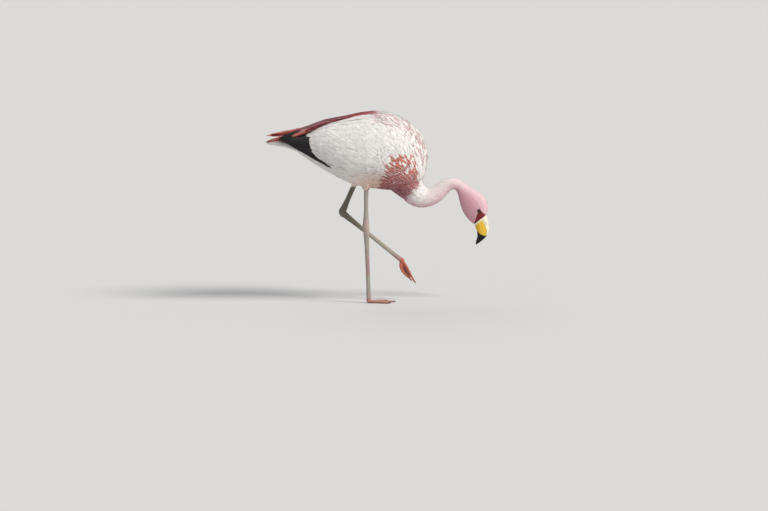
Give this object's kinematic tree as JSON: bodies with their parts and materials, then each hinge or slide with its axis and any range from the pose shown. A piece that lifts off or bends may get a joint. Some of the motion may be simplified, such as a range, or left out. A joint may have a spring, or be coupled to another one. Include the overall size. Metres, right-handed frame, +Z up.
{
  "type": "james's flamingo",
  "caption": "Life-size still model of a James's flamingo wading on one leg, the other swung forward, its neck dipped and its bill pointing down.",
  "frame": {"origin": "on the flat sole of the standing foot, under the joint of its toes", "axes": "+X the way the bird faces, +Y towards its left, +Z up"},
  "size_m": [0.6036, 0.1714, 0.53],
  "materials": {
    "plumage": "soft matt white feathers, flushed pink, streaked crimson on the breast and mantle",
    "plumes": "crimson scapular feathers, matt",
    "quills": "black flight feathers, slight sheen",
    "leg_skin": "scaled grey-olive skin under dried mud, red where it is clean",
    "foot_skin": "brick-red scaled skin, damp",
    "bill": "horn, yellow with a black tip, satin",
    "eye": "wet, very dark",
    "claw": "dark horn"
  },
  "bodies": {
    "root": {"ankle_left": "leg_skin", "ankle_right": "leg_skin", "bill_lower": "bill", "bill_upper": "bill", "claw_left_inner": "claw", "claw_left_middle": "claw", "claw_left_outer": "claw", "claw_right_inner": "claw", "claw_right_middle": "claw", "claw_right_outer": "claw", "eye_left": "eye", "eye_right": "eye", "foot_left": "foot_skin", "foot_right": "foot_skin", "head": "plumage", "neck_lower": "plumage", "neck_middle": "plumage", "neck_upper": "plumage", "plumes_left": "plumes", "plumes_right": "plumes", "quills_left": "quills", "quills_right": "quills", "shank_left": "leg_skin", "shank_right": "leg_skin", "tail": "plumage", "tarsus_left": "leg_skin", "tarsus_right": "leg_skin", "thigh_left": "plumage", "thigh_right": "plumage", "trunk": "plumage", "wing_left": "plumage", "wing_right": "plumage"}
  },
  "joints": []
}
